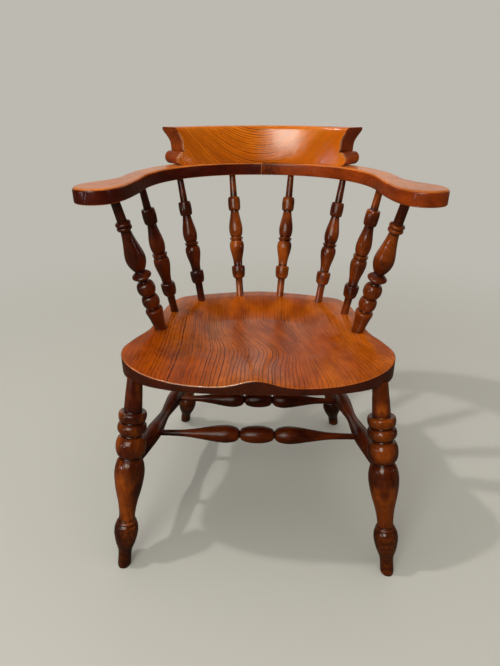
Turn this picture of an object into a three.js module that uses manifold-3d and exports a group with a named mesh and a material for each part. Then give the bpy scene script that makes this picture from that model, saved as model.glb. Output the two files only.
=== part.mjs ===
// A captain's chair of sawn and turned hardwood, in millimetres.
// +Z is up, the sitter faces -Y, and the feet stand on the floor at Z = 0.
// Plan places are measured from a cross line under the seat. The finished chair is then moved so that
// its origin lies on the floor under the middle of its outer box.
import * as THREE from "three";
import { mergeVertices } from "three/addons/utils/BufferGeometryUtils.js";
import Module from "manifold-3d";

const wasm = await Module();
wasm.setup();

// Seat plank
const seatHeight = 432; // flat rim above the floor
const seatThickness = 40;
const seatHalfWidth = 267;
const seatFront = 205; // front edge ahead of the cross line
const seatBack = 226; // back edge behind the cross line
const dishDepth = 24;
const pommelHeight = 15; // rise of the ridge between the sitter's legs
const pommelHalfWidth = 42;
const pommelLength = 105;
const seatEdgeRound = 5;
const seatChamfer = 4;

// Legs
const legRadius = 30; // at the ball, the fullest turning
const frontFootOut = 38; // how far a foot stands outside its leg's top
const frontFootAhead = 94;
const rearFootOut = 70;
const rearFootBehind = 130;
const legTenon = 21; // depth of the leg in the seat

// Stretchers
const sideStretcherRadius = 18;
const sideStretcherFrontHeight = 206;
const sideStretcherBackHeight = 200;
const sideTenon = 20;
const crossStretcherRadius = 19.5;
const crossTenon = 12;

// Arm bow, sawn from two planks that butt at the middle of the back
const bowAboveSeat = 279; // seat rim to the bow's underside
const bowThickness = 28;
const bowInnerHalfWidth = 232;
const bowInnerBack = 272; // inner face behind the cross line at the middle of the back
const bowBackWidth = 58;
const armWidth = 44;
const armCurveStart = 40; // behind the cross line, where the straight arms turn into the curve
const armFront = 112; // front edge of the hand rests ahead of the cross line
const handRestWidth = 98;
const bowEdgeRound = 4;

// Spindles between the seat and the bow
const backSpindleRadius = 17.6;
const armSpindleRadius = 20;
const spindleSeatTenon = 16;
const spindleBowTenon = 20;
const armSpindleAhead = 55; // top of the arm spindle ahead of the cross line
const armSpindleInset = 32; // and outside the arm's inner face

// Crest rail on the back of the bow, bent to an arc
const crestHeight = 80;
const crestThickness = 55;
const crestSetback = 2; // its front behind the bow's inner face at the middle of the back
const crestFrontRadius = 295;
const crestHalfAngle = 41.5; // degrees from the middle to each end
const crestEndHollow = 26.5; // depth of the hollow sawn into each end
const crestScrollRadius = 14.2;
const crestScrollInset = 23.6; // the scroll's middle inside the end's tip

// Screws from under the bow into the crest
const screwRadius = 2.5;
const screwHeadRadius = 5;
const screwHeadHeight = 3.5;
const screwLength = 55;
const screwPoint = 6;
const screwTipRadius = 0.6;
const screwRecess = 3; // head above the bow's underside

// Fits and cutting
const fit = 0.3; // clearance round and behind every seated piece
const overrun = 20; // how far a cutter runs past the wood
const cutterReach = 900; // side of the blocks that trim a whole piece

// Fineness of the round work
const legSides = 12;
const spindleSides = 10;
const screwSides = 8;

const bowUnderside = seatHeight + bowAboveSeat;
const bowTop = bowUnderside + bowThickness;
const seatUnderside = seatHeight - seatThickness;
const quarterTurn = Math.PI / 2;
const sides = { left: -1, right: 1 };

const seatWood = new THREE.MeshStandardMaterial({ color: 0x9c4f1c, roughness: 0.32, metalness: 0 });
const crestWood = new THREE.MeshStandardMaterial({ color: 0xb0601e, roughness: 0.3, metalness: 0 });
const legWood = new THREE.MeshStandardMaterial({ color: 0x7a3312, roughness: 0.28, metalness: 0 });
const spindleWood = new THREE.MeshStandardMaterial({ color: 0x5a1f0e, roughness: 0.28, metalness: 0 });
const bowWood = new THREE.MeshStandardMaterial({ color: 0x85391a, roughness: 0.3, metalness: 0 });
const steel = new THREE.MeshStandardMaterial({ color: 0x6b655c, roughness: 0.45, metalness: 1 });

// Solids

function solid(geometry) {
  const bare = geometry.clone();
  bare.deleteAttribute("normal");
  bare.deleteAttribute("uv");
  const merged = mergeVertices(bare, fit / 1000);
  return new wasm.Manifold(
    new wasm.Mesh({
      numProp: 3,
      vertProperties: new Float32Array(merged.attributes.position.array),
      triVerts: new Uint32Array(merged.index.array),
    }),
  );
}

function geometryOf(body) {
  const { vertProperties, triVerts } = body.getMesh();
  const geometry = new THREE.BufferGeometry();
  geometry.setAttribute("position", new THREE.BufferAttribute(new Float32Array(vertProperties), 3));
  geometry.setIndex(new THREE.BufferAttribute(new Uint32Array(triVerts), 1));
  geometry.computeVertexNormals();
  return geometry;
}

// A piece of the chair: a body in a frame of its own, and that frame's place in the chair.
function piece(name, geometry, material, frame = new THREE.Matrix4()) {
  return { name, body: solid(geometry), material, frame };
}

function meshOf({ name, body, material, frame }) {
  const mesh = new THREE.Mesh(geometryOf(body), material);
  mesh.name = name;
  frame.decompose(mesh.position, mesh.quaternion, mesh.scale);
  return mesh;
}

// Geometry that lies in one frame of the chair, seen from a piece's own frame.
function seenFrom(target, geometry, frame) {
  const toTarget = target.frame.clone().invert().multiply(frame);
  return solid(geometry.clone().applyMatrix4(toTarget));
}

function cut(target, geometry, frame = new THREE.Matrix4()) {
  target.body = target.body.subtract(seenFrom(target, geometry, frame));
}

function trim(target, geometry, frame = new THREE.Matrix4()) {
  target.body = target.body.intersect(seenFrom(target, geometry, frame));
}

// A frame that starts at one point and has its Z axis towards another.
function frameBetween(from, to) {
  const along = to.clone().sub(from).normalize();
  const turn = new THREE.Quaternion().setFromUnitVectors(new THREE.Vector3(0, 0, 1), along);
  return new THREE.Matrix4().compose(from, turn, new THREE.Vector3(1, 1, 1));
}

// A round hole along a frame's Z axis, with clearance round a pin of the given radius.
function drill(target, frame, radius, from, to, count = spindleSides) {
  const hole = new THREE.CylinderGeometry(radius + fit, radius + fit, to - from, count);
  cut(target, hole.rotateX(quarterTurn).translate(0, 0, (from + to) / 2), frame);
}

// Turned outlines, as [length, radius] pairs

// A bead from one share of the length to another, with its radius at the edges and at its fullest as
// shares of the full radius.
function bead({ fromShare, toShare, edgeShare, fullShare }, length, radius, steps = 4) {
  return Array.from({ length: steps + 1 }, (_, i) => {
    const turn = Math.PI * (i / steps);
    const place = THREE.MathUtils.lerp(fromShare, toShare, (1 - Math.cos(turn)) / 2);
    return [place * length, (edgeShare + (fullShare - edgeShare) * Math.sin(turn)) * radius];
  });
}

function swell(points, steps) {
  const curve = new THREE.SplineCurve(points.map(([along, radius]) => new THREE.Vector2(along, radius)));
  return curve.getPoints(steps).map(({ x, y }) => [x, y]);
}

// An outline in shares of a visible length and of a full radius, as real lengths.
function scaled(shares, length, radius) {
  return shares.map(([along, across]) => [along * length, across * radius]);
}

// The second half of an outline that is the same seen from either end.
function mirrored(half, length) {
  return half.map(([along, radius]) => [length - along, radius]).reverse();
}

function turned(outline, count) {
  const points = [
    new THREE.Vector2(0, outline[0][0]),
    ...outline.map(([along, radius]) => new THREE.Vector2(radius, along)),
    new THREE.Vector2(0, outline[outline.length - 1][0]),
  ];
  return new THREE.LatheGeometry(points, count).rotateX(quarterTurn);
}

// Seat: half of its outline from the front middle to the back middle, as shares of its half width
// and of its reach ahead of or behind the cross line.
const seatOutlineShares = [
  [0, -1],
  [0.38, -0.995],
  [0.62, -0.95],
  [0.83, -0.85],
  [0.95, -0.72],
  [1, -0.53],
  [0.955, -0.25],
  [0.875, 0],
  [0.84, 0.35],
  [0.8, 0.63],
  [0.71, 0.8],
  [0.5, 0.89],
  [0.25, 0.96],
  [0, 1],
];
const seatDirections = 44;
const seatRingShares = [0.16, 0.32, 0.46, 0.58, 0.7, 0.8, 0.88, 0.94];

// The scoop: a flat rim at the back and sides that opens towards the front edge.
const rimShare = 0.88;
const scoopSlopeShare = 0.42;
const scoopOpenShares = [0.3, -0.6];
const frontHollowPower = 4;

function seatPlan([across, along]) {
  const reach = along < 0 ? seatFront : seatBack;
  return new THREE.Vector3(across * seatHalfWidth, along * reach, 0);
}

function seatOutline() {
  const right = seatOutlineShares.map(seatPlan);
  const left = right.slice(1, -1).reverse().map(({ x, y }) => new THREE.Vector3(-x, y, 0));
  const loop = new THREE.CatmullRomCurve3([...right, ...left], true);
  return loop.getSpacedPoints(seatDirections).slice(0, seatDirections);
}

function smooth(share) {
  const held = THREE.MathUtils.clamp(share, 0, 1);
  return held * held * (3 - 2 * held);
}

function scoop(x, y, outward) {
  const [shut, open] = scoopOpenShares;
  const alongShare = y / (y < 0 ? seatFront : seatBack);
  const behind = smooth((rimShare - outward) / scoopSlopeShare);
  const ahead = 1 - Math.min(1, Math.abs(x) / seatHalfWidth) ** frontHollowPower;
  const openness = smooth((shut - alongShare) / (shut - open));
  const depth = dishDepth * THREE.MathUtils.lerp(behind, Math.max(behind, ahead), openness);
  const acrossRidge = Math.exp(-((x / pommelHalfWidth) ** 2));
  const alongRidge = Math.exp(-(((y + seatFront) / pommelLength) ** 2));
  return depth - pommelHeight * acrossRidge * alongRidge;
}

function seatGeometry() {
  const outline = seatOutline();
  const top = (x, y, outward) => new THREE.Vector3(x, y, seatHeight - scoop(x, y, outward));
  const inset = ({ x, y }, distance) => {
    const kept = 1 - distance / Math.hypot(x, y);
    return [x * kept, y * kept];
  };
  const rings = [
    ...seatRingShares.map((share) => outline.map(({ x, y }) => top(x * share, y * share, share))),
    outline.map((point) => top(...inset(point, seatEdgeRound), 1)),
    outline.map(({ x, y }) => top(x, y, 1).setZ(top(x, y, 1).z - seatEdgeRound)),
    outline.map(({ x, y }) => new THREE.Vector3(x, y, seatUnderside + seatChamfer)),
    outline.map((point) => new THREE.Vector3(...inset(point, seatChamfer), seatUnderside)),
  ];
  return closedLoft(rings, top(0, 0, 0), new THREE.Vector3(0, 0, seatUnderside));
}

// A closed skin over rings of equal count, each end drawn in to a point.
function closedLoft(rings, start, end) {
  const count = rings[0].length;
  const corner = (ring, i) => 1 + ring * count + (i % count);
  const last = rings.length - 1;
  const index = [];
  for (let i = 0; i < count; i += 1) {
    index.push(0, corner(0, i), corner(0, i + 1));
    for (let ring = 0; ring < last; ring += 1) {
      index.push(corner(ring, i), corner(ring + 1, i), corner(ring + 1, i + 1));
      index.push(corner(ring, i), corner(ring + 1, i + 1), corner(ring, i + 1));
    }
    index.push(1 + rings.length * count, corner(last, i + 1), corner(last, i));
  }
  const geometry = new THREE.BufferGeometry().setFromPoints([start, ...rings.flat(), end]);
  return geometry.setIndex(index);
}

const seat = piece("seat", seatGeometry(), seatWood);

// Legs: turned from the foot up, let into the seat's underside and sawn level at the floor.
const frontLegTopShares = [0.876, -0.745];
const rearLegTopShares = [0.57, 0.62];
const legFootShare = 0.44;
const legTopShare = 0.49;
const bulbShares = [
  [0.015, 0.44],
  [0.08, 0.45],
  [0.105, 0.53],
  [0.13, 0.645],
  [0.165, 0.75],
  [0.2, 0.8],
  [0.235, 0.715],
  [0.253, 0.59],
];
const vaseShares = [
  [0.256, 0.53],
  [0.3, 0.54],
  [0.36, 0.65],
  [0.42, 0.83],
  [0.48, 0.96],
  [0.53, 0.99],
  [0.575, 0.88],
  [0.596, 0.73],
];
const legBallShares = { fromShare: 0.608, toShare: 0.714, edgeShare: 0.68, fullShare: 1 };
const legRingShares = { fromShare: 0.728, toShare: 0.785, edgeShare: 0.7, fullShare: 0.945 };
const collarShares = [
  [0.79, 0.74],
  [0.794, 0.84],
  [0.812, 0.91],
  [0.828, 0.89],
  [0.837, 0.81],
  [0.839, 0.59],
];

function legOutline(length) {
  return [
    [-overrun, legFootShare * legRadius],
    ...swell(scaled(bulbShares, length, legRadius), 8),
    ...swell(scaled(vaseShares, length, legRadius), 8),
    ...bead(legBallShares, length, legRadius, 6),
    ...bead(legRingShares, length, legRadius),
    ...scaled(collarShares, length, legRadius),
    [length, legTopShare * legRadius],
    [length + legTenon, legTopShare * legRadius],
  ];
}

function makeLeg(name, side, topShares, out, behind) {
  const { x, y } = seatPlan(topShares);
  const top = new THREE.Vector3(side * x, y, seatUnderside);
  const foot = new THREE.Vector3(side * (x + out), y + behind, 0);
  const length = foot.distanceTo(top);
  const made = piece(name, turned(legOutline(length), legSides), legWood, frameBetween(foot, top));
  const belowFloor = new THREE.BoxGeometry(cutterReach, cutterReach, cutterReach);
  cut(made, belowFloor.translate(foot.x, foot.y, -cutterReach / 2));
  drill(seat, made.frame, legTopShare * legRadius, length - overrun, length + legTenon + fit, legSides);
  return { made, foot, top };
}

const legs = Object.entries(sides).map(([side, sign]) => ({
  front: makeLeg("leg_front_" + side, sign, frontLegTopShares, frontFootOut, -frontFootAhead),
  back: makeLeg("leg_back_" + side, sign, rearLegTopShares, rearFootOut, rearFootBehind),
  side,
}));

// Stretchers: one at each side from leg to leg, and two across between those.
const crossPlaceShares = [["front", 0.32], ["back", 0.68]]; // of the way from the front leg to the back one
const sideEndShare = 0.58;
const sideHalfShares = [
  [0.19, 0.82],
  [0.32, 1],
  [0.41, 0.82],
  [0.5, 0.64],
];
const crossEndShare = 0.34;
const crossHalfShares = [
  [0.06, 0.34],
  [0.15, 0.42],
  [0.235, 0.69],
  [0.305, 0.94],
  [0.355, 1],
  [0.395, 0.81],
  [0.413, 0.42],
];
const crossBeadShares = { fromShare: 0.42, toShare: 0.58, edgeShare: 0.48, fullShare: 1 };

// The middle line of a stretcher between two points, cut short at both ends by the same length.
function shortened(from, to, by) {
  const inward = to.clone().sub(from).normalize().multiplyScalar(by);
  const start = from.clone().add(inward);
  const end = to.clone().sub(inward);
  return { frame: frameBetween(start, end), length: start.distanceTo(end) };
}

function makeSideStretcher({ front, back, side }) {
  const from = front.foot.clone().lerp(front.top, sideStretcherFrontHeight / seatUnderside);
  const to = back.foot.clone().lerp(back.top, sideStretcherBackHeight / seatUnderside);
  const { frame, length } = shortened(from, to, legRadius - sideTenon);
  const r = sideStretcherRadius;
  const end = sideEndShare * r;
  const straight = sideTenon + end / 2;
  const half = [[straight, end], ...scaled(sideHalfShares, length, r)];
  const outline = [
    [0, end],
    ...swell([...half, ...mirrored(half, length).slice(1)], 18),
    [length, end],
  ];
  const made = piece("side_stretcher_" + side, turned(outline, spindleSides), spindleWood, frame);
  drill(front.made, frame, end, -fit, sideTenon + overrun);
  drill(back.made, frame, end, length - sideTenon - overrun, length + fit);
  return { made, from, to };
}

const sideStretchers = legs.map(makeSideStretcher);

function makeCrossStretcher([name, share]) {
  const [left, right] = sideStretchers;
  const from = left.from.clone().lerp(left.to, share);
  const to = right.from.clone().lerp(right.to, share);
  const { frame, length } = shortened(from, to, sideStretcherRadius - crossTenon);
  const r = crossStretcherRadius;
  const end = crossEndShare * r;
  const half = [[0, end], ...swell(scaled(crossHalfShares, length, r), 8)];
  const outline = [...half, ...bead(crossBeadShares, length, r, 6), ...mirrored(half, length)];
  const made = piece("cross_stretcher_" + name, turned(outline, spindleSides), spindleWood, frame);
  drill(left.made, frame, end, -fit, crossTenon + overrun);
  drill(right.made, frame, end, length - crossTenon - overrun, length + fit);
  return made;
}

const crossStretchers = crossPlaceShares.map(makeCrossStretcher);

// Bow: an oval back that runs into straight arms, each with a hand rest that flares outward.
const ovalPower = 2.15;
const ovalSteps = 12;
const handRestSteps = 24;

// The hand rest in shares of its width, from the arm's inner face, and of the arm's straight length.
const handRestShares = [
  [0.01, 0.2],
  [0.04, 0.41],
  [0.09, 0.63],
  [0.163, 0.79],
  [0.265, 0.905],
  [0.41, 0.975],
  [0.59, 1],
  [0.79, 0.97],
  [0.94, 0.88],
  [1, 0.73],
  [0.95, 0.57],
  [0.81, 0.43],
  [0.65, 0.3],
  [0.53, 0.16],
];

// A point on the oval: turn 0 is the middle of the back and 1 the start of the straight arm, across 0
// is the inner edge and 1 the outer.
function bowPoint(turn, across) {
  const angle = turn * quarterTurn;
  const halfWidth = bowInnerHalfWidth + across * armWidth;
  const reach = bowInnerBack - armCurveStart + across * bowBackWidth;
  const x = halfWidth * Math.sin(angle) ** (2 / ovalPower);
  const y = armCurveStart + reach * Math.max(0, Math.cos(angle)) ** (2 / ovalPower);
  return new THREE.Vector2(x, y);
}

function armOutline() {
  const turns = Array.from({ length: ovalSteps + 1 }, (_, i) => i / ovalSteps);
  const straight = armCurveStart + armFront;
  const inner = turns.map((turn) => bowPoint(turn, 0));
  const outer = turns.map((turn) => bowPoint(turn, 1)).reverse();
  const handRest = handRestShares.map(([across, along]) => {
    const x = bowInnerHalfWidth + across * handRestWidth;
    return new THREE.Vector2(x, armCurveStart - along * straight);
  });
  const flare = new THREE.SplineCurve([inner[ovalSteps], ...handRest, outer[0]]);
  const past = [inner[0].clone().setX(-overrun), outer[ovalSteps].clone().setX(-overrun)];
  return [past[0], ...inner, ...flare.getPoints(handRestSteps).slice(1, -1), ...outer, past[1]];
}

function makeArm([side, sign]) {
  const outline = new THREE.Shape(armOutline().map(({ x, y }) => new THREE.Vector2(sign * x, y)));
  const geometry = new THREE.ExtrudeGeometry(outline, {
    depth: bowThickness - 2 * bowEdgeRound,
    bevelSize: bowEdgeRound,
    bevelThickness: bowEdgeRound,
    bevelOffset: -bowEdgeRound,
    bevelSegments: 2,
  });
  const made = piece("arm_" + side, geometry.translate(0, 0, bowUnderside + bowEdgeRound), bowWood);
  const pastJoint = new THREE.BoxGeometry(cutterReach, cutterReach, cutterReach);
  cut(made, pastJoint.translate(sign * (fit - cutterReach) / 2, 0, bowUnderside));
  return made;
}

const arms = Object.entries(sides).map(makeArm);

// Spindles: three at each side of the back, and a heavier one under each arm.
const backSpindlePlaceShares = {
  middle: { seatShares: [0.186, 0.87], turnShare: 0.168, acrossShare: 0.36, stretchShare: 1 },
  quarter: { seatShares: [0.533, 0.72], turnShare: 0.53, acrossShare: 0.36, stretchShare: 1 },
  side: { seatShares: [0.733, 0.395], turnShare: 0.93, acrossShare: 0.26, stretchShare: 1.065 },
};
const armSpindleSeatShares = [0.796, 0.01];
const lowerBlockShares = [
  [0.15, 0.51],
  [0.158, 0.74],
  [0.18, 0.88],
  [0.215, 0.93],
  [0.245, 0.9],
  [0.25, 0.84],
];
const upperBlockShares = [
  [0.708, 0.78],
  [0.725, 0.9],
  [0.765, 0.93],
  [0.8, 0.91],
  [0.813, 0.84],
  [0.817, 0.5],
];
const lowerVaseShares = [
  [0.252, 0.57],
  [0.29, 0.63],
  [0.33, 0.75],
  [0.37, 0.9],
  [0.415, 1],
  [0.457, 0.74],
];
const upperVaseShares = [
  [0.49, 0.72],
  [0.525, 0.93],
  [0.565, 0.99],
  [0.61, 0.87],
  [0.66, 0.67],
  [0.705, 0.56],
];
const spindleDiscShares = { fromShare: 0.46, toShare: 0.486, edgeShare: 0.72, fullShare: 0.94 };
const backSpindleEndShares = { footShare: 0.495, headShare: 0.41 };

// The turning is stretched up from the top of the lower block, which stands at the same height in all.
function backSpindleOutline(length, radius, stretchShare) {
  const [blockTopShare] = lowerBlockShares[lowerBlockShares.length - 1];
  const turning = [
    ...scaled(lowerBlockShares, length, radius),
    ...swell(scaled(lowerVaseShares, length, radius), 7),
    ...bead(spindleDiscShares, length, radius, 2),
    ...swell(scaled(upperVaseShares, length, radius), 7),
    ...scaled(upperBlockShares, length, radius),
  ];
  const blockTop = blockTopShare * length;
  return {
    foot: backSpindleEndShares.footShare * radius,
    head: backSpindleEndShares.headShare * radius,
    turning: turning.map(([along, across]) => [
      blockTop + (along - blockTop) * (along > blockTop ? stretchShare : 1),
      across,
    ]),
  };
}

const cupShares = [
  [0.06, 0.7],
  [0.1, 0.8],
  [0.135, 0.92],
  [0.158, 0.9],
  [0.168, 0.6],
];
const armBunShares = { fromShare: 0.182, toShare: 0.284, edgeShare: 0.5, fullShare: 0.913 };
const armBallShares = { fromShare: 0.289, toShare: 0.394, edgeShare: 0.5, fullShare: 0.945 };
const armDiscShares = { fromShare: 0.418, toShare: 0.472, edgeShare: 0.62, fullShare: 0.985 };
const armSpindleEndShares = { footShare: 0.66, headShare: 0.44 };
const armVaseShares = [
  [0.485, 0.52],
  [0.53, 0.86],
  [0.58, 1],
  [0.64, 0.88],
  [0.72, 0.64],
  [0.79, 0.5],
];
const armCollarShares = [
  [0.796, 0.66],
  [0.815, 0.74],
  [0.823, 0.66],
  [0.831, 0.74],
  [0.848, 0.66],
  [0.852, 0.5],
];

function armSpindleOutline(length, radius) {
  return {
    foot: armSpindleEndShares.footShare * radius,
    head: armSpindleEndShares.headShare * radius,
    turning: [
      ...scaled(cupShares, length, radius),
      ...bead(armBunShares, length, radius),
      ...bead(armBallShares, length, radius),
      ...bead(armDiscShares, length, radius, 2),
      ...swell(scaled(armVaseShares, length, radius), 7),
      ...scaled(armCollarShares, length, radius),
    ],
  };
}

function makeSpindle(name, arm, foot, head, outline) {
  const length = foot.distanceTo(head);
  const geometry = turned([
    [-spindleSeatTenon, outline.foot],
    [0, outline.foot],
    ...outline.turning,
    [length, outline.head],
    [length + spindleBowTenon, outline.head],
  ], spindleSides);
  const made = piece(name, geometry, spindleWood, frameBetween(foot, head));
  drill(seat, made.frame, outline.foot, -spindleSeatTenon - fit, overrun);
  drill(arm, made.frame, outline.head, length - overrun, length + spindleBowTenon + fit);
  return made;
}

const spindles = Object.entries(sides).flatMap(([side, sign], i) => {
  const footAt = (shares) => seatPlan(shares).multiply(new THREE.Vector3(sign, 1, 0)).setZ(seatHeight);
  const armX = sign * (bowInnerHalfWidth + armSpindleInset);
  const armHead = new THREE.Vector3(armX, -armSpindleAhead, bowUnderside);
  const armFoot = footAt(armSpindleSeatShares);
  const armTurning = armSpindleOutline(armFoot.distanceTo(armHead), armSpindleRadius);
  const backSpindles = Object.entries(backSpindlePlaceShares).map(([place, shares]) => {
    const { x, y } = bowPoint(shares.turnShare, shares.acrossShare);
    const foot = footAt(shares.seatShares);
    const head = new THREE.Vector3(sign * x, y, bowUnderside);
    const outline = backSpindleOutline(foot.distanceTo(head), backSpindleRadius, shares.stretchShare);
    return makeSpindle(`spindle_${place}_${side}`, arms[i], foot, head, outline);
  });
  return [...backSpindles, makeSpindle("arm_spindle_" + side, arms[i], armFoot, armHead, armTurning)];
});

// Crest rail: its section from the front of the base over the top to the back, as shares of its
// thickness and height, swept along an arc and sawn to a hollow and a scroll at each end.
const crestSectionShares = [
  [0, 0],
  [0, 0.14],
  [0.02, 0.36],
  [0.055, 0.6],
  [0.1, 0.82],
  [0.14, 0.93],
  [0.19, 0.98],
  [0.26, 1],
  [0.92, 1],
  [0.98, 0.96],
  [1, 0.88],
  [1, 0],
];
const crestSteps = 22;
const scrollSteps = 10;
const scrollTurns = [1.2, -1]; // quarter turns, from its inner side over the top to the bottom
const crestHollowShares = [
  [-0.2, 1],
  [-0.34, 0.9],
  [-0.58, 0.8],
  [-0.8, 0.7],
  [-0.95, 0.6],
  [-1.01, 0.5],
  [-1.03, 0.37],
];
const crestCentre = new THREE.Vector3(0, bowInnerBack + crestSetback - crestFrontRadius, bowTop + fit);

function aroundCrest(radius, angle, height) {
  const across = radius * Math.sin(angle);
  const behind = radius * Math.cos(angle);
  return new THREE.Vector3(across, behind, height).add(crestCentre);
}

function crestGeometry() {
  const halfAngle = THREE.MathUtils.degToRad(crestHalfAngle);
  const rings = Array.from({ length: crestSteps + 1 }, (_, i) => {
    const angle = halfAngle * ((2 * i) / crestSteps - 1);
    return crestSectionShares.map(([back, height]) =>
      aroundCrest(crestFrontRadius + back * crestThickness, angle, height * crestHeight));
  });
  const heart = (angle) => aroundCrest(crestFrontRadius + crestThickness / 2, angle, crestHeight / 4);
  return closedLoft(rings, heart(-halfAngle), heart(halfAngle));
}

// What is left of one end, seen from outside along the arc: the hollow above and the scroll below.
function crestEndGeometry(sign) {
  const hollow = crestHollowShares.map(([out, height]) =>
    new THREE.Vector2(out * crestEndHollow, height * crestHeight));
  const scroll = Array.from({ length: scrollSteps + 1 }, (_, i) => {
    const turn = quarterTurn * THREE.MathUtils.lerp(...scrollTurns, i / scrollSteps);
    const out = crestScrollRadius * Math.cos(turn) - crestScrollInset;
    return new THREE.Vector2(out, crestScrollRadius * (1 + Math.sin(turn)));
  });
  const kept = [
    new THREE.Vector2(-cutterReach, -overrun),
    new THREE.Vector2(-cutterReach, crestHeight + overrun),
    new THREE.Vector2(hollow[0].x, crestHeight + overrun),
    ...hollow,
    ...scroll,
    new THREE.Vector2(scroll[scrollSteps].x, -overrun),
  ];
  const shape = new THREE.Shape(kept.map(({ x, y }) => new THREE.Vector2(sign * x, y)));
  const geometry = new THREE.ExtrudeGeometry(shape, { depth: cutterReach, bevelEnabled: false });
  const turn = -sign * THREE.MathUtils.degToRad(crestHalfAngle);
  return geometry.rotateX(quarterTurn).translate(0, cutterReach, 0).rotateZ(turn);
}

const crest = piece("crest_rail", crestGeometry(), crestWood);
for (const sign of Object.values(sides)) {
  trim(crest, crestEndGeometry(sign), new THREE.Matrix4().setPosition(crestCentre));
}

// Screws: two through each half of the bow, heads sunk in its underside.
const screwAngles = { inner: 7, outer: 33 }; // degrees along the crest from the middle

function screwOutline() {
  return [
    [0, screwHeadRadius],
    [screwHeadHeight, screwRadius],
    [screwLength - screwPoint, screwRadius],
    [screwLength, screwTipRadius],
  ];
}

function makeScrew(place, side, sign, arm) {
  const angle = sign * THREE.MathUtils.degToRad(screwAngles[place]);
  const above = aroundCrest(crestFrontRadius + crestThickness / 2, angle, 0);
  const head = above.clone().setZ(bowUnderside + screwRecess);
  const frame = frameBetween(head, above);
  const made = piece(`crest_screw_${place}_${side}`, turned(screwOutline(), screwSides), steel, frame);
  drill(arm, frame, screwHeadRadius, -overrun, screwHeadHeight, screwSides);
  drill(arm, frame, screwRadius, 0, bowThickness, screwSides);
  drill(crest, frame, screwRadius, 0, screwLength + fit, screwSides);
  return made;
}

const screws = Object.entries(sides).flatMap(([side, sign], i) =>
  Object.keys(screwAngles).map((place) => makeScrew(place, side, sign, arms[i])));

// The chair put together
const undercarriage = new THREE.Group();
const legPieces = legs.flatMap(({ front, back }) => [front.made, back.made]);
const stretcherPieces = [...sideStretchers.map(({ made }) => made), ...crossStretchers];
undercarriage.add(...[...legPieces, ...stretcherPieces].map(meshOf));

const backAndArms = new THREE.Group();
backAndArms.add(...[...spindles, ...arms, crest, ...screws].map(meshOf));

const chair = new THREE.Group();
chair.add(undercarriage, meshOf(seat), backAndArms);

const outerBox = new THREE.Box3().setFromObject(chair, true);
chair.position.y = -(outerBox.min.y + outerBox.max.y) / 2;

export default chair;
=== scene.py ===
# A smoker's bow captain's chair in varnished hardwood, dressed over its solids.
# Everything is in metres, +Z up, and the sitter faces -Y.
import math

import bmesh
import bpy
import numpy as np
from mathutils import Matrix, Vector


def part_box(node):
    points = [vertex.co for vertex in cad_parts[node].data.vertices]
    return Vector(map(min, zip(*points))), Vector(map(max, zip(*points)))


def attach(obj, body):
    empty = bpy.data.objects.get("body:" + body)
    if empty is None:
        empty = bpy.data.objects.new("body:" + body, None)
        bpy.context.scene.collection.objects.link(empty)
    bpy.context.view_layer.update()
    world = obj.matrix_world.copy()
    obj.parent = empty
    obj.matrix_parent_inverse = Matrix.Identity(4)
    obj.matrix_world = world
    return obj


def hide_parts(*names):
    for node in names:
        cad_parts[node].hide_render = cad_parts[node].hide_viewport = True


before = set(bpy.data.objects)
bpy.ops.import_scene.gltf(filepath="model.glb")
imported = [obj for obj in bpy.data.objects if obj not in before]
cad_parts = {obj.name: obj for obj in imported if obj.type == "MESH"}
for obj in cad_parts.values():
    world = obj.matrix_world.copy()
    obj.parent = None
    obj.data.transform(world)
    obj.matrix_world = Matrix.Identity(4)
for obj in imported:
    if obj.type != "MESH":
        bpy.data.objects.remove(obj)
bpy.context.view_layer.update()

# Camera
# It stands an arm's length ahead of the seat, a little above the top of the crest, and looks down at
# the chair from a little right of its middle.
scene = bpy.context.scene
scene.view_settings.view_transform = "Standard"
focal_pixels = 500
photo_height = 666
sensor_width = 36
camera_place = (0.016, -1.0089, 0.883)
degrees_down = 25.4
degrees_left = 2.0
camera_data = bpy.data.cameras.new("camera")
camera_data.sensor_width = sensor_width
camera_data.lens = sensor_width * focal_pixels / photo_height
camera = bpy.data.objects.new("camera", camera_data)
camera.location = camera_place
camera.rotation_euler = (math.radians(90 - degrees_down), 0, math.radians(degrees_left))
scene.collection.objects.link(camera)
scene.camera = camera

# Room
# A plain pale grey floor that runs out to a backdrop of the same grey. A small lamp high on the left
# throws the shadow, and three softboxes, ahead of the chair and at its sides, make the varnish shine.
room_grey = (0.507, 0.489, 0.438, 1)
dull_grey = (0.08, 0.07, 0.05, 1)
fill_colour = (1.0, 0.98, 0.95, 1)
fill_below, fill_above = 0.02, 0.9
floor_reach = 40
fade_start, fade_end = 0.9, 2.2
softbox_aim = Vector((0, 0, 0.5))
softbox_distance = 2.8


def add_node(tree, kind, settings=None, **sockets):
    made = tree.nodes.new("ShaderNode" + kind)
    for key, value in (settings or {}).items():
        setattr(made, key, value)
    for key, value in sockets.items():
        socket = made.inputs[int(key[1:])] if key[0] == "_" else made.inputs[key.replace("_", " ")]
        if isinstance(value, bpy.types.NodeSocket):
            tree.links.new(value, socket)
        else:
            socket.default_value = value
    return made


def maths(tree, operation, a, b=0.0, c=0.0):
    return add_node(tree, "Math", {"operation": operation}, _0=a, _1=b, _2=c).outputs[0]


def between(tree, value, low, high, bottom=0.0, top=1.0):
    """A value's place between low and high, eased, as a number from bottom to top."""
    made = add_node(tree, "MapRange", {"interpolation_type": "SMOOTHSTEP"}, Value=value)
    for key, number in (("From Min", low), ("From Max", high), ("To Min", bottom), ("To Max", top)):
        made.inputs[key].default_value = number
    return made.outputs["Result"]


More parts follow.
